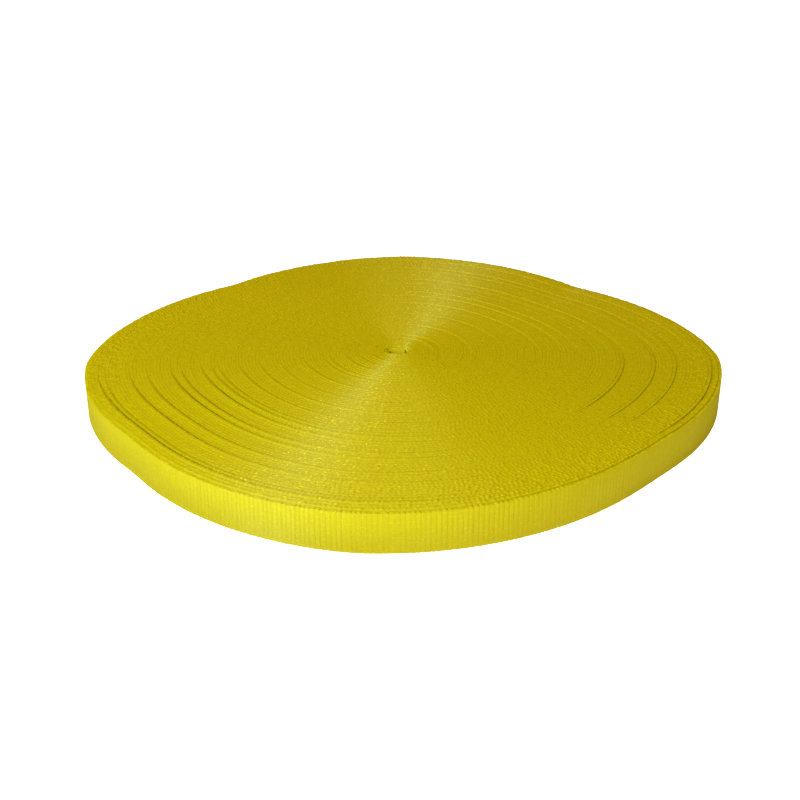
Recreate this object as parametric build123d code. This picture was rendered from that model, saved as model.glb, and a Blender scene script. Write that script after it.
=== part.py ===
from build123d import *
import math
import os

# A long strip of flat webbing wound on itself into a flat roll that lies on its side.
# The winding axis is +Z, the resting face is z = 0, and the origin is the middle of the
# roll's footprint. Lengths are in millimetres and angles in degrees.

# ---- driving dimensions -------------------------------------------------------------
WEB_WIDTH = 20.0            # the strip stands on its edge, so this is the roll's height
WEB_THICKNESS = 1.5
WOUND_PITCH = 1.8           # radial room that one turn takes
TOTAL_TURNS = 94.0
END_AZIMUTH = 105.0         # where the strip's outer end lies

# Turn counts at which each wound stretch ends, from the folded start outwards.
STRETCH_ENDS = [4.8, 9.9, 16.0, 22.6, 29.1, 35.7, 42.3, 48.9, 55.5, 63.0, 69.6, 76.1, 80.8, 87.4]

# Ties have pressed four dents into the rim, and it bulges between each dent and the next.
# Each is given as (azimuth, rim radius over the mean radius).
RIM_DENTS = [(43.5, 0.936), (134.5, 0.929), (219.0, 0.981), (316.5, 0.960)]
RIM_BULGES = [(87.5, 1.023), (185.0, 1.029), (263.0, 1.039), (358.0, 1.055)]
BULGE_POWER = 1.3           # 1 gives straight flanks beside the dents, 2 gives round ones
DENT_FADE_START = 0.15      # share of the rim radius inside which turns are round
DENT_FADE_END = 0.60        # share of the rim radius outside which dents are full depth

SLIDE_GAP = 0.4             # clearance between wound stretches that slide on each other
POINTS_PER_TURN = 40        # a boundary needs this many to follow the dents

EYE_LENGTH = 10.0           # open slit left in the fold at the middle
EYE_WIDTH = 4.4

END_STRETCH_COUNT = 4
END_STRETCH_LENGTH = 35.0
END_STRETCH_POINTS = 5
END_GAP = 0.3               # under the loose end
BUTT_GAP = 0.1              # between two stretches of the loose end

TAPE_HEIGHT = 14.0
TAPE_THICKNESS = 0.25
TAPE_LIFT = 0.05            # film of adhesive under the tape
TAPE_ON_END = 18.0          # length stuck to the loose end
TAPE_RAMP = 4.0             # length that steps down from the end to the turn below
TAPE_ON_ROLL = 18.0         # length stuck to the turn below
TAPE_POINTS = 9             # along each of its three lengths

RIM_RADIUS = TOTAL_TURNS * WOUND_PITCH


# ---- geometry of the winding --------------------------------------------------------
def smoothstep(low, high, value):
    share = min(max((value - low) / (high - low), 0.0), 1.0)
    return share * share * (3.0 - 2.0 * share)


def flank(dent, bulge, share):
    """Rim factor at a share of the way from a dent to a bulge."""
    return bulge - (bulge - dent) * (1.0 - share) ** BULGE_POWER


def rim_factor(azimuth):
    """Rim radius over the mean radius at an azimuth."""
    for index, (bulge_azimuth, bulge) in enumerate(RIM_BULGES):
        start, start_dent = RIM_DENTS[index]
        end, end_dent = RIM_DENTS[(index + 1) % len(RIM_DENTS)]
        rise = (bulge_azimuth - start) % 360.0
        fall = (end - bulge_azimuth) % 360.0
        along = (azimuth - start) % 360.0
        if along <= rise:
            return flank(start_dent, bulge, along / rise)
        if along <= rise + fall:
            return flank(end_dent, bulge, (rise + fall - along) / fall)
    return 1.0


def azimuth_at(turns):
    """Azimuth of the strip after a number of turns from the middle."""
    return END_AZIMUTH + (turns - TOTAL_TURNS) * 360.0


def planform(turns, offset):
    """Point at a radial offset from the strip's mid-line after a number of turns."""
    azimuth = azimuth_at(turns)
    nominal = turns * WOUND_PITCH + offset
    depth = smoothstep(DENT_FADE_START, DENT_FADE_END, nominal / RIM_RADIUS)
    radius = nominal * (1.0 + depth * (rim_factor(azimuth) - 1.0))
    angle = math.radians(azimuth)
    return Vector(radius * math.cos(angle), radius * math.sin(angle), 0.0)


def arc_turns(length, turns):
    """Share of a turn that a length of strip takes up there."""
    return length / (2.0 * math.pi * turns * WOUND_PITCH)


def winding_curve(first, last, offset, count):
    """Smooth curve along the winding at a constant radial offset from its mid-line."""
    steps = range(count + 1)
    return Spline([planform(first + (last - first) * step / count, offset) for step in steps])


def boundary(first, offset):
    """Closed line around the roll at the inner surface of the turn that starts at first."""
    spiral = winding_curve(first, first + 1.0, offset - WOUND_PITCH / 2.0, POINTS_PER_TURN)
    step = Line(spiral @ 1, spiral @ 0)
    return Wire([spiral, step])


def strip_face(first, last, inner_offset, outer_offset, count):
    """Plan of a single layer of strip between two turn counts."""
    inner = winding_curve(first, last, inner_offset, count)
    outer = winding_curve(first, last, outer_offset, count)
    return Face(Wire([inner, Line(inner @ 1, outer @ 1), outer, Line(outer @ 0, inner @ 0)]))


def upright(face, bottom, height):
    """Solid of a plan face between two heights."""
    return Solid.extrude(face.moved(Location((0, 0, bottom))), Vector(0, 0, height))


# ---- sub-parts ----------------------------------------------------------------------
def outline_before(end):
    """Outside of the wound stretch that ends after a number of turns."""
    return boundary(end, -SLIDE_GAP / 2.0)


def hole_after(end):
    """Inside of the wound stretch that starts there, clear of the stretch before it."""
    return boundary(end + arc_turns(SLIDE_GAP, end), SLIDE_GAP / 2.0)


def centre_start():
    eye = Wire(Ellipse(EYE_LENGTH / 2.0, EYE_WIDTH / 2.0).edges())
    return upright(Face(outline_before(STRETCH_ENDS[0]), [eye]), 0.0, WEB_WIDTH)


def wound_turns(start, end):
    return upright(Face(outline_before(end), [hole_after(start)]), 0.0, WEB_WIDTH)


def loose_end_start():
    """Turn count at which the loose end leaves the roll."""
    length = END_STRETCH_COUNT * END_STRETCH_LENGTH
    return TOTAL_TURNS - arc_turns(length, TOTAL_TURNS)


def rim_turns():
    """Outermost wound stretch, whose last layer stops where the loose end begins."""
    outline = boundary(loose_end_start(), 0.0)
    return upright(Face(outline, [hole_after(STRETCH_ENDS[-1])]), 0.0, WEB_WIDTH)


def end_stretch(index):
    length = arc_turns(END_STRETCH_LENGTH, TOTAL_TURNS)
    first = loose_end_start() + index * length
    inner_offset = END_GAP - WOUND_PITCH / 2.0
    outer_offset = inner_offset + WEB_THICKNESS
    face = strip_face(
        first + arc_turns(BUTT_GAP, TOTAL_TURNS),
        first + length,
        inner_offset,
        outer_offset,
        END_STRETCH_POINTS,
    )
    return upright(face, 0.0, WEB_WIDTH)


def tape_line(lift):
    """Curve of the tape, on the loose end and then down on the turn below it."""
    high = WOUND_PITCH / 2.0 + lift
    low = high - WOUND_PITCH + END_GAP
    first = TOTAL_TURNS - arc_turns(TAPE_ON_END, TOTAL_TURNS)
    last = TOTAL_TURNS + arc_turns(TAPE_RAMP + TAPE_ON_ROLL, TOTAL_TURNS)
    ramp_end = TOTAL_TURNS + arc_turns(TAPE_RAMP, TOTAL_TURNS)
    count = 3 * TAPE_POINTS
    points = []
    for step in range(count + 1):
        turns = first + (last - first) * step / count
        drop = smoothstep(TOTAL_TURNS, ramp_end, turns)
        points.append(planform(turns, high + (low - high) * drop))
    return Spline(points)


def end_tape():
    inner = tape_line(TAPE_LIFT)
    outer = tape_line(TAPE_LIFT + TAPE_THICKNESS)
    outline = Wire([inner, Line(inner @ 1, outer @ 1), outer, Line(outer @ 0, inner @ 0)])
    return upright(Face(outline), (WEB_WIDTH - TAPE_HEIGHT) / 2.0, TAPE_HEIGHT)


# ---- assembly -----------------------------------------------------------------------
def all_nodes():
    """Every sub-part by name, around the winding axis."""
    nodes = {"centre_start": centre_start()}
    for index, (start, end) in enumerate(zip(STRETCH_ENDS, STRETCH_ENDS[1:]), start=1):
        nodes[f"wound_turns_{index:02d}"] = wound_turns(start, end)
    nodes[f"wound_turns_{len(STRETCH_ENDS):02d}"] = rim_turns()
    for index in range(END_STRETCH_COUNT):
        nodes[f"end_stretch_{index + 1}"] = end_stretch(index)
    nodes["end_tape"] = end_tape()
    return nodes


def footprint_shift(nodes):
    """Move that puts the middle of the roll's footprint at the origin."""
    box = Compound(list(nodes.values())).bounding_box(optimal=True)
    return Location((-box.center().X, -box.center().Y, 0.0))


os.makedirs("parts", exist_ok=True)
NODES = all_nodes()
SHIFT = footprint_shift(NODES)
for name, solid in NODES.items():
    export_step(solid.moved(SHIFT), f"parts/{name}.step")
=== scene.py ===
import math

import bpy
import numpy as np
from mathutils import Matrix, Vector


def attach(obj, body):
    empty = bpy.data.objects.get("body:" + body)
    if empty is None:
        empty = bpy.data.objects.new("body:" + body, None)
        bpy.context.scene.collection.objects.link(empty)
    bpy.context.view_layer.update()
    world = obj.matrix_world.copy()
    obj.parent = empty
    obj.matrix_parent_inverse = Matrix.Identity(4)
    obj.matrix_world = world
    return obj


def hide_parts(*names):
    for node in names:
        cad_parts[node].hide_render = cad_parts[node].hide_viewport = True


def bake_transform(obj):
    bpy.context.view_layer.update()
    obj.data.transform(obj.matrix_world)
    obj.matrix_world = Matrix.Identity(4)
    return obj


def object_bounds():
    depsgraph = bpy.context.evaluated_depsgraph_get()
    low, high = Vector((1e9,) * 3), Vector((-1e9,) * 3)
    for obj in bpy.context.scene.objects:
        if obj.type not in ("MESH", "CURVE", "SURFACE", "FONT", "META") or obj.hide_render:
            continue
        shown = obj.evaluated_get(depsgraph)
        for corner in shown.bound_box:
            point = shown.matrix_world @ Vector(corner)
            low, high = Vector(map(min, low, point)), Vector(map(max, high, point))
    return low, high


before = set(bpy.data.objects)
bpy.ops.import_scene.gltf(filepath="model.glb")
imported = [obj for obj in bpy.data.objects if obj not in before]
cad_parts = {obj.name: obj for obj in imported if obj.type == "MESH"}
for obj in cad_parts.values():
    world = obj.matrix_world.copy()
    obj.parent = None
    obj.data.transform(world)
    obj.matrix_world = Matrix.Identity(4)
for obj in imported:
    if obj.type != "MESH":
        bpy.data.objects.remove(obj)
CAD_LOW, CAD_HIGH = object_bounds()

MM = 0.001                      # the scene is in metres

# ---- the winding, as the CAD has it ------------------------------------------------
WEB_WIDTH = CAD_HIGH.z - CAD_LOW.z
WOUND_PITCH = 1.8 * MM
TOTAL_TURNS = 94.0
END_AZIMUTH = 105.0
STRETCH_ENDS = [4.8, 9.9, 16.0, 22.6, 29.1, 35.7, 42.3, 48.9, 55.5, 63.0, 69.6, 76.1, 80.8, 87.4]
RIM_DENTS = [(43.5, 0.936), (134.5, 0.929), (219.0, 0.981), (316.5, 0.960)]
RIM_BULGES = [(87.5, 1.023), (185.0, 1.029), (263.0, 1.039), (358.0, 1.055)]
BULGE_POWER = 1.3
DENT_ROUNDS = [0.7, 0.7, 2.5, 8.0]      # degrees over which each dent is rounded off
DENT_SOFTENING = 30.0                   # degrees more at the middle of the roll
DENT_FADE_START = 0.15
DENT_FADE_END = 0.60
END_STRETCH_LENGTH = 35.0 * MM
END_STRETCH_COUNT = 4
END_GAP = 0.3 * MM
RIM_RADIUS = TOTAL_TURNS * WOUND_PITCH

# ---- the strip ----------------------------------------------------------------------
RIB_PITCH = 2.3 * MM            # one cross rib and one groove
RIB_RELIEF = 0.08 * MM          # depth of a groove on each face
PRESSED_RELIEF = 0.03 * MM      # and where the turns press on each other
TIED_RELIEF = 0.25              # share of either that the ties have left in the dents
TIED_REACH = (8.0, 26.0)        # degrees from a dent over which it comes back
EDGE_RELIEF = 0.09 * MM         # depth of a groove at the strip's edges
RAGGED_RELIEF = 0.12 * MM       # and how much deeper it is near the rim
RAGGED_LOOPS = 1.8              # share by which its loops stray more there
RAGGED_TURNS = (72.0, 92.0)
RIB_SPREAD = 0.12               # how far one rib's pitch strays, as a share of it
LOOP_WANDER = 0.06 * MM         # how far the weft loops at the edges stray in height
PITCH_COVER = 0.998             # share of the room between turns that the strip fills
EDGE_ROUND = 0.06 * MM          # height over which the strip's edges round off
YARN_PITCH = 0.95 * MM
FIRST_TURN = 1.90               # where the folded start begins
FOLD_REACH = 8.0 * MM           # the fold flattens the turns this far out
FOLD_HALF = 3.2 * MM            # half the length of the fold
FOLD_BEND = 3.0                 # how suddenly it bends round at its ends
FOLD_FLAT = 0.20
GRID_PER_TURN = 360
TANGENT_STEP = 0.002            # turns on each side over which a tangent is taken


def smoothstep(low, high, value):
    share = np.clip((value - low) / (high - low), 0.0, 1.0)
    return share * share * (3.0 - 2.0 * share)


def flank(dent, bulge, along, span, dent_round):
    """Shape factor at an angle along the way from a dent to a bulge."""
    left = np.clip(1.0 - np.hypot(along, dent_round) / span, 0.0, 1.0)
    return bulge - (bulge - dent) * left**BULGE_POWER


def joined_flank(dent, along, dent_round, flanks):
    """The same for the first of a dent's two flanks, so that they meet in the dent.

    Each of the flanks is the bulge that it runs to and the angle to that.
    """
    (bulge, span), (other_bulge, other_span) = flanks
    factor = flank(dent, bulge, along, span, dent_round)
    foot = flank(dent, bulge, 0.0, span, dent_round)
    other_foot = flank(dent, other_bulge, 0.0, other_span, dent_round)
    return factor + (other_foot - foot) / 2.0 * np.exp(-((along / (2.0 * dent_round)) ** 2))


def shape_factor(azimuth, inwards):
    """Radius over the mean radius at each azimuth, in degrees, and share of the way inwards."""
    factor = np.ones_like(azimuth)
    soft = DENT_SOFTENING * inwards
    ahead = []
    behind = []
    for index, (dent_azimuth, _) in enumerate(RIM_DENTS):
        next_azimuth, next_bulge = RIM_BULGES[index]
        last_azimuth, last_bulge = RIM_BULGES[index - 1]
        ahead.append((next_bulge, (next_azimuth - dent_azimuth) % 360.0))
        behind.append((last_bulge, (dent_azimuth - last_azimuth) % 360.0))
    for index, (start, start_dent) in enumerate(RIM_DENTS):
        after = (index + 1) % len(RIM_DENTS)
        end_dent = RIM_DENTS[after][1]
        rise = ahead[index][1]
        fall = behind[after][1]
        along = (azimuth - start) % 360.0
        back = rise + fall - along
        rising = joined_flank(
            start_dent, along, DENT_ROUNDS[index] + soft, (ahead[index], behind[index])
        )
        falling = joined_flank(
            end_dent, back, DENT_ROUNDS[after] + soft, (behind[after], ahead[after])
        )
        factor = np.where(back >= 0.0, np.where(along <= rise, rising, falling), factor)
    return factor


def unshifted(turns, offset=0.0):
    """Points in plan at a radial offset from the strip's mid-line, about the winding axis."""
    azimuth = END_AZIMUTH + (turns - TOTAL_TURNS) * 360.0
    nominal = turns * WOUND_PITCH + offset
    outwards = nominal / RIM_RADIUS
    depth = smoothstep(DENT_FADE_START, DENT_FADE_END, outwards)
    factor = shape_factor(azimuth, np.clip(1.0 - outwards, 0.0, 1.0))
    radius = nominal * (1.0 + depth * (factor - 1.0))
    angle = np.radians(azimuth)
    fold = np.exp(-((nominal / FOLD_REACH) ** 2))
    x = radius * np.cos(angle) + FOLD_HALF * fold * np.tanh(FOLD_BEND * np.cos(angle))
    y = radius * np.sin(angle) * (1.0 - FOLD_FLAT * fold)
    return np.stack([x, y], axis=-1)


def footprint_shift():
    """Move from the winding axis to the middle of the roll's footprint, as in the CAD."""
    rim = unshifted(np.linspace(TOTAL_TURNS - 1.0, TOTAL_TURNS, GRID_PER_TURN), WOUND_PITCH / 2.0)
    middle = (np.array(CAD_LOW.xy) + np.array(CAD_HIGH.xy)) / 2.0
    return middle - (rim.min(axis=0) + rim.max(axis=0)) / 2.0


SHIFT = footprint_shift()


def planform(turns, offset=0.0):
    return unshifted(turns, offset) + SHIFT


TURN_GRID = np.linspace(FIRST_TURN, TOTAL_TURNS, int((TOTAL_TURNS - FIRST_TURN) * GRID_PER_TURN))
GRID_STEPS = np.linalg.norm(np.diff(planform(TURN_GRID), axis=0), axis=1)
STRIP_LENGTH = GRID_STEPS.sum()
RIB_COUNT = round(STRIP_LENGTH / RIB_PITCH)
RIB_GRID = np.concatenate([[0.0], np.cumsum(GRID_STEPS)]) / STRIP_LENGTH * RIB_COUNT


def turns_at(ribs):
    return np.interp(ribs, RIB_GRID, TURN_GRID)


def rib_at(turns):
    """The groove nearest to a turn count, so that pieces of the strip meet in a groove."""
    return round(float(np.interp(turns, TURN_GRID, RIB_GRID)))


def turns_of(length, turns):
    """Share of a turn that a length of strip takes up there."""
    return length / (2.0 * math.pi * turns * WOUND_PITCH)


# ---- how far each turn stands proud --------------------------------------------------
PROUD_LEVEL = 0.79 * MM         # height of the turns above the floor, before any unevenness
PROUD_MOST = 2.40 * MM          # and the most with it
PROUD_START = (1.5, 4.0)        # turns over which the folded start rises from the floor
PROUD_FADE = 1.6                # turns before its end where the strip begins to come down

# Small unevenness all over the roll, as (height, turns between random knots, power). A high
# power leaves most turns flush and moves a few.
WANDERS = [
    (0.06 * MM, 0.29, 4.0),
    (-0.05 * MM, 0.31, 4.0),
    (0.02 * MM, 0.23, 1.0),
    (0.30 * MM, 4.3, 1.0),
]

# Places where some turns stand proud or low of their neighbours. The middle and half length of
# each ridge are in turns, the middle from the azimuth where the strip ends. A ridge's height and
# the depth of the hollow inside it are those near the rim, and inner is the share left in the
# inner turns. The first ridge is on the turn called first, and apart is the fewest and the most
# turns from one ridge to the next.
UNEVEN_PLACES = [
    dict(middle=0.37, half=0.14, ridge=1.40 * MM, hollow=1.15 * MM, inner=0.36, first=4, apart=(2, 7)),
    dict(middle=0.82, half=0.17, ridge=0.22 * MM, hollow=0.34 * MM, inner=1.0, first=6, apart=(3, 10)),
    dict(middle=0.67, half=0.09, ridge=0.0, hollow=1.40 * MM, inner=1.0, first=67, apart=(6, 10)),
]
UNEVEN_LEAST = 0.40             # the weakest ridge's share of the full height
UNEVEN_GROWTH = (30.0, 68.0)    # turns over which ridges grow to the whole
UNEVEN_RNG = np.random.default_rng(14)
PROUD_FULL = 0.5                # share of the half length over which they are full height
PROUD_SPILL = 0.20              # share of their height that the turns on each side follow

RNG = np.random.default_rng(11)


def wander(spacing, turns, power):
    """Smooth random line from 0 to 1 along the strip, with a knot every so many turns."""
    knots = RNG.random(int(TOTAL_TURNS / spacing) + 2) ** power
    place = turns / spacing
    low = np.floor(place).astype(int)
    share = smoothstep(0.0, 1.0, place - low)
    return knots[low] * (1.0 - share) + knots[low + 1] * share


def uneven_turns():
    """Ridges and the hollows inside them, as (middle, half length, height)."""
    for place in UNEVEN_PLACES:
        turn = place["first"]
        while turn < TOTAL_TURNS - PROUD_FADE:
            share = UNEVEN_RNG.uniform(UNEVEN_LEAST, 1.0)
            share *= place["inner"] + (1.0 - place["inner"]) * smoothstep(*UNEVEN_GROWTH, turn)
            middle = turn + place["middle"]
            yield middle, place["half"], share * place["ridge"]
            yield middle - 1.0, place["half"], -share * place["hollow"]
            turn += UNEVEN_RNG.integers(*place["apart"], endpoint=True)


def proud_line(turns):
    """Height of the strip above the floor. Its last turn stands on the floor."""
    line = np.full_like(turns, PROUD_LEVEL)
    for height, spacing, power in WANDERS:
        line += height * wander(spacing, turns, power)
    for middle, half, height in uneven_turns():
        for step, share in ((-1, PROUD_SPILL), (0, 1.0), (1, PROUD_SPILL)):
            away = np.abs(turns - middle - step)
            line += height * share * (1.0 - smoothstep(PROUD_FULL * half, half, away))
    line = np.clip(line, 0.0, PROUD_MOST)
    line *= smoothstep(*PROUD_START, turns)
    return line * (1.0 - smoothstep(TOTAL_TURNS - PROUD_FADE, TOTAL_TURNS - 1.0, turns))


PROUD_GRID = np.linspace(0.0, TOTAL_TURNS, int(TOTAL_TURNS * GRID_PER_TURN))
PROUD_LINE = proud_line(PROUD_GRID)


def proud(turns):
    return np.interp(turns, PROUD_GRID, PROUD_LINE)


# ---- meshes --------------------------------------------------------------------------
# Along one rib: (share of its pitch, height of its crest). At an edge, in section: (share of
# the half thickness, share of the rounding).
COARSE_RIB = [(0.0, 0.0), (0.25, 1.0), (0.75, 1.0)]
FINE_RIB = [(0.0, 0.0), (0.09, 0.5), (0.22, 0.86), (0.5, 1.0), (0.78, 0.86), (0.91, 0.5)]
COARSE_TOP = [(1.0, 0.0), (0.78, 0.78), (0.0, 1.0), (-0.78, 0.78), (-1.0, 0.0)]
COARSE_BOTTOM = [(-1.0, 0.0), (0.0, 1.0), (1.0, 0.0)]
FINE_TOP = [
    (1.0, 0.0), (0.96, 0.40), (0.80, 0.78), (0.45, 0.96), (0.0, 1.0),
    (-0.45, 0.96), (-0.80, 0.78), (-0.96, 0.40), (-1.0, 0.0),
]
FINE_BOTTOM = [(-1.0, 0.0), (-0.80, 0.78), (0.0, 1.0), (0.80, 0.78), (1.0, 0.0)]
COARSE = (COARSE_RIB, COARSE_TOP, COARSE_BOTTOM, PRESSED_RELIEF)
FINE = (FINE_RIB, FINE_TOP, FINE_BOTTOM, RIB_RELIEF)

GROOVES = np.arange(RIB_COUNT + 1)
RIB_WIDTHS = 1.0 + RIB_SPREAD * RNG.uniform(-1.0, 1.0, RIB_COUNT)
GROOVE_PLACES = np.append(0.0, np.cumsum(RIB_WIDTHS)) * RIB_COUNT / RIB_WIDTHS.sum()
LOOP_HEIGHTS = LOOP_WANDER * RNG.uniform(-1.0, 1.0, (2, RIB_COUNT + 1))


def keep_sharp(mesh, around, corners):
    """Keep lines along a tube, at these places round it, from being shaded over."""
    ends = np.empty(len(mesh.edges) * 2, dtype=np.int32)
    mesh.edges.foreach_get("vertices", ends)
    places = ends.reshape(-1, 2) % around
    sharp = (places[:, 0] == places[:, 1]) & np.isin(places[:, 0], corners)
    mesh.attributes.new("sharp_edge", "BOOLEAN", "EDGE").data.foreach_set("value", sharp)


def tube_mesh(name, points, along, girth, corners):
    """Closed tube from rings of points, with flat ends and a map in ribs along and metres round.

    The girth has one value more than a ring has points, for where the map closes on itself.
    """
    rings, around = points.shape[:2]
    index = np.arange(rings * around).reshape(rings, around)
    after = np.roll(index, -1, axis=1)
    quads = np.stack([index[:-1], index[1:], after[1:], after[:-1]], axis=-1).reshape(-1, 4)
    loops = np.concatenate([quads.ravel(), index[0], index[-1][::-1]])
    starts = np.concatenate([np.arange(len(quads)) * 4, len(quads) * 4 + np.arange(2) * around])

    one_row = np.stack([girth[:-1], girth[:-1], girth[1:], girth[1:]], axis=-1)
    round_map = np.tile(one_row, (rings - 1, 1, 1))
    one_column = np.stack([along[:-1], along[1:], along[1:], along[:-1]], axis=-1)
    along_map = np.repeat(one_column[:, None, :], around, axis=1)
    sides = np.stack([along_map, round_map], axis=-1).reshape(-1, 2)
    ends = []
    for ring, start in ((points[0], along[0]), (points[-1][::-1], along[-1])):
        across = np.linalg.norm(ring[:, :2] - ring[0, :2], axis=1)
        ends.append(np.stack([start + across / RIB_PITCH, ring[:, 2]], axis=-1))
    place = np.concatenate([sides, *ends])

    mesh = bpy.data.meshes.new(name)
    mesh.vertices.add(rings * around)
    mesh.vertices.foreach_set("co", points.astype(np.float32).ravel())
    mesh.loops.add(len(loops))
    mesh.loops.foreach_set("vertex_index", loops.astype(np.int32))
    mesh.polygons.add(len(starts))
    mesh.polygons.foreach_set("loop_start", starts.astype(np.int32))
    mesh.update(calc_edges=True)
    flat = np.arange(len(starts)) >= len(starts) - 2
    mesh.attributes.new("sharp_face", "BOOLEAN", "FACE").data.foreach_set("value", flat)
    mesh.uv_layers.new(name="strip").data.foreach_set("uv", place.astype(np.float32).ravel())
    mesh.validate()
    keep_sharp(mesh, around, corners)
    thing = bpy.data.objects.new(name, mesh)
    bpy.context.scene.collection.objects.link(thing)
    return thing


def across_strip(turns):
    """Unit normals of the strip in plan, and the radial room that it has there."""
    tangent = planform(turns + TANGENT_STEP) - planform(turns - TANGENT_STEP)
    tangent /= np.linalg.norm(tangent, axis=1)[:, None]
    normal = np.stack([tangent[:, 1], -tangent[:, 0]], axis=-1)
    reach = planform(turns, WOUND_PITCH / 2.0) - planform(turns, -WOUND_PITCH / 2.0)
    return normal, np.abs((reach * normal).sum(axis=1))


def relief_left(turns):
    """Share of the ribs' relief that is left, for the ties pressed them flat in the dents."""
    azimuth = END_AZIMUTH + (turns - TOTAL_TURNS) * 360.0
    share = np.ones_like(turns)
    for dent_azimuth, _ in RIM_DENTS:
        away = np.abs((azimuth - dent_azimuth + 180.0) % 360.0 - 180.0)
        share *= TIED_RELIEF + (1.0 - TIED_RELIEF) * smoothstep(*TIED_REACH, away)
    return share


def strip_piece(name, first_rib, last_rib, detail):
    """One stretch of the ribbed strip, wound as the CAD has it."""
    rib, top_edge, bottom_edge, relief = detail
    phases = np.array([phase for phase, _ in rib])
    heights = np.array([height for _, height in rib])
    ribs = np.append((np.arange(first_rib, last_rib)[:, None] + phases).ravel(), last_rib)
    crest = np.append(np.tile(heights, last_rib - first_rib), 0.0)
    turns = turns_at(np.interp(ribs, GROOVES, GROOVE_PLACES))
    normal, room = across_strip(turns)
    half = room * PITCH_COVER / 2.0 - relief * relief_left(turns) * (1.0 - crest)
    ragged = smoothstep(*RAGGED_TURNS, turns)
    loop = LOOP_HEIGHTS[:, np.floor(ribs).astype(int)] * crest * (1.0 + RAGGED_LOOPS * ragged)
    groove = (EDGE_RELIEF + RAGGED_RELIEF * ragged) * (1.0 - crest)
    lift = proud(turns) + CAD_LOW.z

    top_side, top_rise = np.array(top_edge).T
    bottom_side, bottom_rise = np.array(bottom_edge).T
    top_drop = EDGE_ROUND * (1.0 - top_rise)
    top = WEB_WIDTH + (lift + loop[0] - groove)[:, None] - top_drop
    bottom = (lift + np.abs(loop[1]) + groove)[:, None] + EDGE_ROUND * (1.0 - bottom_rise)
    height = np.concatenate([top, bottom], axis=1)
    side = np.concatenate([top_side, bottom_side])
    plan = planform(turns)[:, None, :] + normal[:, None, :] * (side * half[:, None])[:, :, None]
    points = np.concatenate([plan, height[:, :, None]], axis=-1)

    middle = points[len(points) // 2]
    girth = np.append(0.0, np.cumsum(np.linalg.norm(np.roll(middle, -1, axis=0) - middle, axis=1)))
    top_corners = [0, len(top_edge) - 1]
    map_start = 2 * (first_rib // 2)
    return tube_mesh(name, points, ribs - map_start, girth, top_corners)


# ---- materials -----------------------------------------------------------------------
def new_material(name):
    material = bpy.data.materials.new(name)
    material.use_nodes = True
    tree = material.node_tree
    return material, tree, tree.nodes["Principled BSDF"]


def math_node(tree, operation, *values, clamp=False):
    node = tree.nodes.new("ShaderNodeMath")
    node.operation = operation
    node.use_clamp = clamp
    for socket, value in zip(node.inputs, values):
        if isinstance(value, (int, float)):
            socket.default_value = value
        else:
            tree.links.new(value, socket)
    return node.outputs[0]


def wave(tree, place, pitch):
    """1 at every whole pitch, 0 halfway between."""
    turn = math_node(tree, "MULTIPLY", place, 2.0 * math.pi / pitch)
    swing = math_node(tree, "COSINE", turn)
    return math_node(tree, "MULTIPLY_ADD", swing, 0.5, 0.5)


def above(tree, value, level, steepness):
    """0 below a level, then up to 1."""
    over = math_node(tree, "SUBTRACT", value, level)
    return math_node(tree, "MULTIPLY", over, steepness, clamp=True)


def noise(tree, place, scale, detail):
    node = tree.nodes.new("ShaderNodeTexNoise")
    node.inputs["Scale"].default_value = scale
    node.inputs["Detail"].default_value = detail
    tree.links.new(place, node.inputs["Vector"])
    return node.outputs["Fac"]


def strip_place(tree):
    """Place on the strip from its map: along in ribs, and across in metres."""
    strip_map = tree.nodes.new("ShaderNodeUVMap")
    strip_map.uv_map = "strip"
    parts = tree.nodes.new("ShaderNodeSeparateXYZ")
    tree.links.new(strip_map.outputs["UV"], parts.inputs[0])
    return parts.outputs["X"], parts.outputs["Y"]


def streaks(tree, place, scales, detail=2.0):
    """Noise with the map's two directions scaled apart."""
    node = tree.nodes.new("ShaderNodeCombineXYZ")
    for value, scale, axis in zip(place, scales, "XY"):
        tree.links.new(math_node(tree, "MULTIPLY", value, scale), node.inputs[axis])
    return noise(tree, node.outputs[0], 1.0, detail)


def mix_colour(tree, share, first, second):
    node = tree.nodes.new("ShaderNodeMix")
    node.data_type = "RGBA"
    tree.links.new(share, node.inputs["Factor"])
    for socket, value in ((node.inputs["A"], first), (node.inputs["B"], second)):
        if isinstance(value, tuple):
            socket.default_value = (*value, 1.0)
        else:
            tree.links.new(value, socket)
    return node.outputs["Result"]


# Noise on the webbing, as scales (along it for each rib, across it for each metre).
FIBRE_SCALES = (2.0, 9000.0)
BLOTCH_SCALES = (0.35, 150.0)
DYE_SCALES = (0.004, 0.0)
RIB_TONE_SCALES = (0.8, 0.0)
LOOP_SCALES = (1.3, 800.0)

YELLOW_LIGHT = (0.68, 0.552, 0.0015)
# the deep yellow takes the painted shade in grooves and between yarns, and the random tone
YELLOW_DEEP = (0.47, 0.346, 0.0007)
YELLOW_DYE = (0.60, 0.465, 0.001)
YELLOW_GLINT = (1.0, 0.83, 0.03)
DYE_SHARE = 0.25                # how far the dye strays from one length to the next

# How much deeper the yellow gets: painted shade in the grooves and between yarns, and random tone in
# blotches and on single ribs.
GROOVE_PAINTED_SHADE = 0.15
YARN_GAP_PAINTED_SHADE = 0.15
DEEP_BLOTCHES = 0.25
DEEP_RIBS = 0.30

GLINT_LEVEL = 0.57              # noise above which the filaments of a loop glint
GLINT_RISE = 10.0               # and how steeply they begin to
GLINT_ELSEWHERE = 0.35          # share that is left away from the strip's top edge
GLINT_METAL = 0.50              # how metallic the glossiest filaments are
GLINT_SHARE = 0.64              # and how much lighter, which makes up for it in flat light
GLINT_SMOOTH = 0.16             # and how much smoother
PLAIN_METAL = 0.03

ROUGH_LEAST = 0.50
ROUGH_FIBRES = 0.20
BUMP_STRENGTH = 0.45
BUMP_DEPTH = 0.08 * MM
BUMP_YARNS = 0.6
BUMP_FIBRES = 0.8

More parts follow.
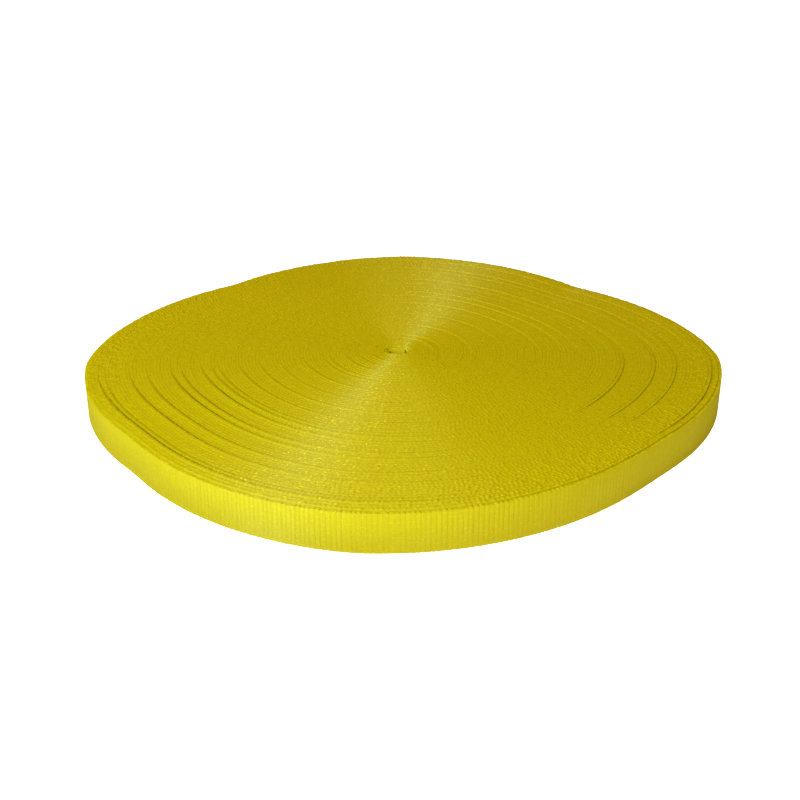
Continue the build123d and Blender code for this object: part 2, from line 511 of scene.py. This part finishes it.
# How the warp yarns reflect, as settings of the shader.
YARN_SHINE = {
    "Anisotropic": 0.95,
    "Anisotropic Rotation": 0.25,
    "Specular IOR Level": 0.6,
    "Specular Tint": (0.82, 1.0, 0.42, 1.0),
}


def webbing_glints(tree, place):
    """Where the weft loops glint, most of all on the strip's top edge."""
    glints = above(tree, streaks(tree, place, LOOP_SCALES), GLINT_LEVEL, GLINT_RISE)
    on_top = math_node(tree, "LESS_THAN", place[1], WOUND_PITCH)
    share = math_node(tree, "MULTIPLY_ADD", on_top, 1.0 - GLINT_ELSEWHERE, GLINT_ELSEWHERE)
    return math_node(tree, "MULTIPLY", glints, share)


def webbing_colour(tree, place, yarn_gaps_bump_and_shade, glints):
    """Yellow, with painted shade in the grooves and between yarns, and deeper at random in blotches
    and from rib to rib.
    """
    shades = [
        # painted shade in the rib grooves and between the yarns, then random tone
        (wave(tree, place[0], 1.0), GROOVE_PAINTED_SHADE),
        (yarn_gaps_bump_and_shade, YARN_GAP_PAINTED_SHADE),
        (streaks(tree, place, BLOTCH_SCALES), DEEP_BLOTCHES),
        (streaks(tree, place, RIB_TONE_SCALES, detail=1.0), DEEP_RIBS),
    ]
    # this sum holds the painted shade in grooves and between yarns, and the random tone
    depth = 0.0
    for shade, share in shades:
        depth = math_node(tree, "MULTIPLY_ADD", shade, share, depth)
    colour = mix_colour(tree, depth, YELLOW_LIGHT, YELLOW_DEEP)
    dye = math_node(tree, "MULTIPLY", streaks(tree, place, DYE_SCALES, detail=1.0), DYE_SHARE)
    colour = mix_colour(tree, dye, colour, YELLOW_DYE)
    bright = math_node(tree, "MULTIPLY", glints, GLINT_SHARE)
    return mix_colour(tree, bright, colour, YELLOW_GLINT)


def webbing_material():
    """Satin yellow polyester: warp yarns that run along the strip and pass over cross ribs."""
    material, tree, shader = new_material("yellow_webbing")
    place = strip_place(tree)
    # gaps between the yarns: a bump, and painted shade in the colour
    yarn_gaps_bump_and_shade = wave(tree, place[1], YARN_PITCH)
    fibres = streaks(tree, place, FIBRE_SCALES)
    glints = webbing_glints(tree, place)

    colour = webbing_colour(tree, place, yarn_gaps_bump_and_shade, glints)
    tree.links.new(colour, shader.inputs["Base Color"])
    metallic = math_node(tree, "MULTIPLY_ADD", glints, GLINT_METAL, PLAIN_METAL)
    tree.links.new(metallic, shader.inputs["Metallic"])

    height = math_node(tree, "MULTIPLY", yarn_gaps_bump_and_shade, -BUMP_YARNS)
    height = math_node(tree, "MULTIPLY_ADD", fibres, BUMP_FIBRES, height)
    bump = tree.nodes.new("ShaderNodeBump")
    bump.inputs["Strength"].default_value = BUMP_STRENGTH
    bump.inputs["Distance"].default_value = BUMP_DEPTH
    tree.links.new(height, bump.inputs["Height"])
    tree.links.new(bump.outputs["Normal"], shader.inputs["Normal"])

    roughness = math_node(tree, "MULTIPLY_ADD", fibres, ROUGH_FIBRES, ROUGH_LEAST)
    roughness = math_node(tree, "MULTIPLY_ADD", glints, -GLINT_SMOOTH, roughness)
    tree.links.new(roughness, shader.inputs["Roughness"])
    tangent = tree.nodes.new("ShaderNodeTangent")
    tangent.direction_type = "UV_MAP"
    tangent.uv_map = "strip"
    tree.links.new(tangent.outputs["Tangent"], shader.inputs["Tangent"])
    for setting, value in YARN_SHINE.items():
        shader.inputs[setting].default_value = value
    return material


TAPE_SCALES = (0.3, 900.0)      # of its streaks, as for the webbing
TAPE_PALE = (0.94, 0.90, 0.62)
TAPE_DEEP = (0.84, 0.79, 0.46)
TAPE_ROUGH = 0.12
TAPE_STREAK_ROUGH = 0.15
TAPE_ALPHA = 0.55


def tape_material():
    """Pale see-through adhesive tape, glossy with faint streaks along it."""
    material, tree, shader = new_material("clear_tape")
    lines = streaks(tree, strip_place(tree), TAPE_SCALES)
    tree.links.new(mix_colour(tree, lines, TAPE_PALE, TAPE_DEEP), shader.inputs["Base Color"])
    roughness = math_node(tree, "MULTIPLY_ADD", lines, TAPE_STREAK_ROUGH, TAPE_ROUGH)
    tree.links.new(roughness, shader.inputs["Roughness"])
    shader.inputs["Alpha"].default_value = TAPE_ALPHA
    return material


WEBBING = webbing_material()
TAPE = tape_material()


# ---- the roll ------------------------------------------------------------------------
def body_of(stretch):
    """CAD body of a wound stretch, counted from the folded start at 0."""
    if stretch == 0:
        return "centre"
    if stretch == len(STRETCH_ENDS):
        return "rim"
    return f"turns_{stretch:02d}"


def node_of(stretch):
    return "centre_start" if stretch == 0 else f"wound_turns_{stretch:02d}"


def finish_strip(piece):
    piece.data.materials.append(WEBBING)
    return piece


TIGHT_TURNS = 12.0              # number of turns within which the roll is tight
TIGHT_CROSSING = 0.25           # turns on each side of a stretch's end that a crossing takes there
OPEN_CROSSING = 0.125           # and further out


def half_crossing(end):
    """Turns on each side of a stretch's end over which the strip climbs to the next stretch."""
    return TIGHT_CROSSING if end < TIGHT_TURNS else OPEN_CROSSING


def loose_end_start():
    return TOTAL_TURNS - turns_of(END_STRETCH_COUNT * END_STRETCH_LENGTH, TOTAL_TURNS)


def bend_piece_start(index):
    """Turn count at which the piece of strip that lies across a hinge of the loose end begins."""
    return loose_end_start() + turns_of((index - 0.5) * END_STRETCH_LENGTH, TOTAL_TURNS)


def stretch_piece(name, stretch, first_rib, last_rib, detail):
    piece = strip_piece(name, first_rib, last_rib, detail)
    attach(finish_strip(piece), body_of(stretch))
    return piece


def wound_stretches():
    """The strip where it lies within one CAD body. Only the outermost turn is finely ribbed."""
    first = 0
    for stretch, end in enumerate(STRETCH_ENDS):
        last = rib_at(end - half_crossing(end))
        piece = stretch_piece(f"{node_of(stretch)}_strip", stretch, first, last, COARSE)
        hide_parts(node_of(stretch))
        first = rib_at(end + half_crossing(end))
    rim = len(STRETCH_ENDS)
    name = f"{node_of(rim)}_strip"
    outer = rib_at(bend_piece_start(0) - 1.0)
    stretch_piece(f"{name}_inner", rim, first, outer, COARSE)
    piece = stretch_piece(f"{name}_outer", rim, outer, rib_at(bend_piece_start(0)), FINE)
    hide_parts(node_of(rim))


def crossings():
    """The strip where it runs on from one wound stretch into the next."""
    for stretch, end in enumerate(STRETCH_ENDS):
        first = rib_at(end - half_crossing(end))
        last = rib_at(end + half_crossing(end))
        piece = strip_piece(f"crossing_{stretch:02d}", first, last, COARSE)
        finish_strip(piece)
        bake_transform(piece)


def loose_end():
    """The strip's last stretches, in pieces that each lie across one of the loose end's hinges."""
    for index in range(END_STRETCH_COUNT):
        final = index == END_STRETCH_COUNT - 1
        first = rib_at(bend_piece_start(index))
        last = RIB_COUNT if final else rib_at(bend_piece_start(index + 1))
        piece = strip_piece(f"end_stretch_{index + 1}_strip", first, last, FINE)
        finish_strip(piece)
        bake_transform(piece)
        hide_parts(f"end_stretch_{index + 1}")


TAPE_HEIGHT = 14.0 * MM
TAPE_THICKNESS = 0.12 * MM
TAPE_LIFT = 0.04 * MM
TAPE_ON_END = 18.0 * MM
TAPE_RAMP = 4.0 * MM
TAPE_ON_ROLL = 18.0 * MM
TAPE_SAG = 0.06 * MM            # how far it sinks into the grooves under it
TAPE_STEPS_PER_RIB = 6


def end_tape():
    """The tape on the loose end, stepping down onto the turn below."""
    steps = round((TAPE_ON_END + TAPE_RAMP + TAPE_ON_ROLL) / RIB_PITCH * TAPE_STEPS_PER_RIB)
    distance = np.linspace(-TAPE_ON_END, TAPE_RAMP + TAPE_ON_ROLL, steps + 1)
    turns = TOTAL_TURNS + turns_of(distance, TOTAL_TURNS)
    drop = (WOUND_PITCH - END_GAP) * smoothstep(0.0, TAPE_RAMP, distance)
    ribs = distance / RIB_PITCH
    sag = TAPE_SAG * (0.5 + 0.5 * np.cos(2.0 * math.pi * ribs))
    offset = WOUND_PITCH / 2.0 * PITCH_COVER + TAPE_LIFT - drop - sag
    normal, _ = across_strip(turns)
    low = CAD_LOW.z + (WEB_WIDTH - TAPE_HEIGHT) / 2.0
    corners = [(0.0, 0.0), (TAPE_THICKNESS, 0.0), (TAPE_THICKNESS, TAPE_HEIGHT), (0.0, TAPE_HEIGHT)]
    rings = []
    for out, up in corners:
        plan = planform(turns, offset + out)
        rings.append(np.column_stack([plan, np.full(len(turns), low + up)]))
    points = np.stack(rings, axis=1)
    girth = np.cumsum([0.0, TAPE_THICKNESS, TAPE_HEIGHT, TAPE_THICKNESS, TAPE_HEIGHT])
    piece = tube_mesh("end_tape_film", points, ribs - ribs[0], girth, [0, 1, 2, 3])
    piece.data.materials.append(TAPE)
    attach(piece, f"end_{END_STRETCH_COUNT}")
    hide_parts("end_tape")


wound_stretches()
crossings()
loose_end()
end_tape()


# ---- floor, light and camera ---------------------------------------------------------
FLOOR_REACH = 6.0
FLOOR_DROP = 0.05 * MM          # how far it lies under the roll
FLOOR_GREY = (0.9, 0.9, 0.9)
MIRRORED_GREY = (0.15, 0.15, 0.15)      # in reflections
FLOOR_ROUGH = 0.9
FLOOR_LIGHT = (1.0, 0.92, 0.65)
FLOOR_GLOW = 0.38               # light that the bright floor throws back at the roll
FLOOR_WHITE = 0.75              # how much more it takes to show as white
WORLD_GLOW = 0.012

WHITE = (1.0, 1.0, 1.0)

# Disc lights that face the roll, as (name, azimuth, elevation, distance, diameter, power, colour).
LIGHTS = [
    ("low_left", 225.0, 28.0, 1.2, 0.4, 11.2, (0.50, 0.74, 1.0)),
    ("high_left", 235.0, 60.0, 1.2, 0.4, 5.2, (1.0, 0.87, 0.6)),
    ("far_left", 205.0, 25.0, 1.0, 0.5, 1.3, (1.0, 0.9, 0.5)),
    ("front", 285.0, 30.0, 1.0, 0.6, 4.0, (0.87, 1.0, 0.5)),
    ("back", 95.0, 50.0, 1.2, 0.5, 2.1, (1.0, 0.60, 0.05)),
    ("right", 15.0, 50.0, 1.1, 0.6, 0.7, (1.0, 0.35, 0.05)),
]

SENSOR_WIDTH = 36.0
LENS = 50.5
LENS_SHIFT = (0.001, -0.06)
CAMERA_ELEVATION = 23.0
CAMERA_DISTANCE = 0.635
CLIP_START = 0.01


def floor_glow(tree, rays, socket):
    """A strength that is higher where the camera sees the floor, and none in reflections."""
    seen = math_node(tree, "MULTIPLY", rays.outputs["Is Camera Ray"], FLOOR_WHITE)
    seen = math_node(tree, "ADD", seen, FLOOR_GLOW)
    plain = math_node(tree, "SUBTRACT", 1.0, rays.outputs["Is Glossy Ray"])
    tree.links.new(math_node(tree, "MULTIPLY", seen, plain), socket)


def floor_material():
    material, tree, shader = new_material("floor_white")
    rays = tree.nodes.new("ShaderNodeLightPath")
    colour = mix_colour(tree, rays.outputs["Is Glossy Ray"], FLOOR_GREY, MIRRORED_GREY)
    tree.links.new(colour, shader.inputs["Base Color"])
    shader.inputs["Roughness"].default_value = FLOOR_ROUGH
    shader.inputs["Specular IOR Level"].default_value = 0.0
    light = mix_colour(tree, rays.outputs["Is Camera Ray"], FLOOR_LIGHT, WHITE)
    tree.links.new(light, shader.inputs["Emission Color"])
    floor_glow(tree, rays, shader.inputs["Emission Strength"])
    material.cycles.emission_sampling = "NONE"
    return material


def floor():
    mesh = bpy.data.meshes.new("floor")
    level = CAD_LOW.z - FLOOR_DROP
    signs = [(-1, -1), (1, -1), (1, 1), (-1, 1)]
    corners = [(x * FLOOR_REACH, y * FLOOR_REACH, level) for x, y in signs]
    mesh.from_pydata(corners, [], [(0, 1, 2, 3)])
    mesh.materials.append(floor_material())
    thing = bpy.data.objects.new("floor", mesh)
    bpy.context.scene.collection.objects.link(thing)


def direction(azimuth, elevation):
    around, up = math.radians(azimuth), math.radians(elevation)
    flat = math.cos(up)
    return Vector((math.cos(around) * flat, math.sin(around) * flat, math.sin(up)))


def soft_light(name, azimuth, elevation, distance, size, power, colour):
    place = direction(azimuth, elevation) * distance
    data = bpy.data.lights.new(name, "AREA")
    data.shape = "DISK"
    data.size = size
    data.energy = power
    data.color = colour
    thing = bpy.data.objects.new(name, data)
    thing.location = place
    thing.rotation_euler = (-place).to_track_quat("-Z", "Y").to_euler()
    bpy.context.scene.collection.objects.link(thing)


def studio():
    scene = bpy.context.scene
    scene.view_settings.view_transform = "Standard"
    world = bpy.data.worlds.new("studio")
    world.use_nodes = True
    tree = world.node_tree
    background = tree.nodes["Background"]
    background.inputs["Color"].default_value = (*WHITE, 1.0)
    rays = tree.nodes.new("ShaderNodeLightPath")
    glow = math_node(tree, "ADD", rays.outputs["Is Camera Ray"], WORLD_GLOW)
    tree.links.new(glow, background.inputs["Strength"])
    scene.world = world
    for light in LIGHTS:
        soft_light(*light)


def camera():
    data = bpy.data.cameras.new("camera")
    data.sensor_width = SENSOR_WIDTH
    data.lens = LENS
    data.shift_x, data.shift_y = LENS_SHIFT
    data.clip_start = CLIP_START
    thing = bpy.data.objects.new("camera", data)
    aim = Vector((SHIFT[0], SHIFT[1], CAD_HIGH.z))
    back = direction(-90.0, CAMERA_ELEVATION)
    thing.location = aim + back * CAMERA_DISTANCE
    thing.rotation_euler = (-back).to_track_quat("-Z", "Y").to_euler()
    bpy.context.scene.collection.objects.link(thing)
    bpy.context.scene.camera = thing


floor()
studio()
camera()
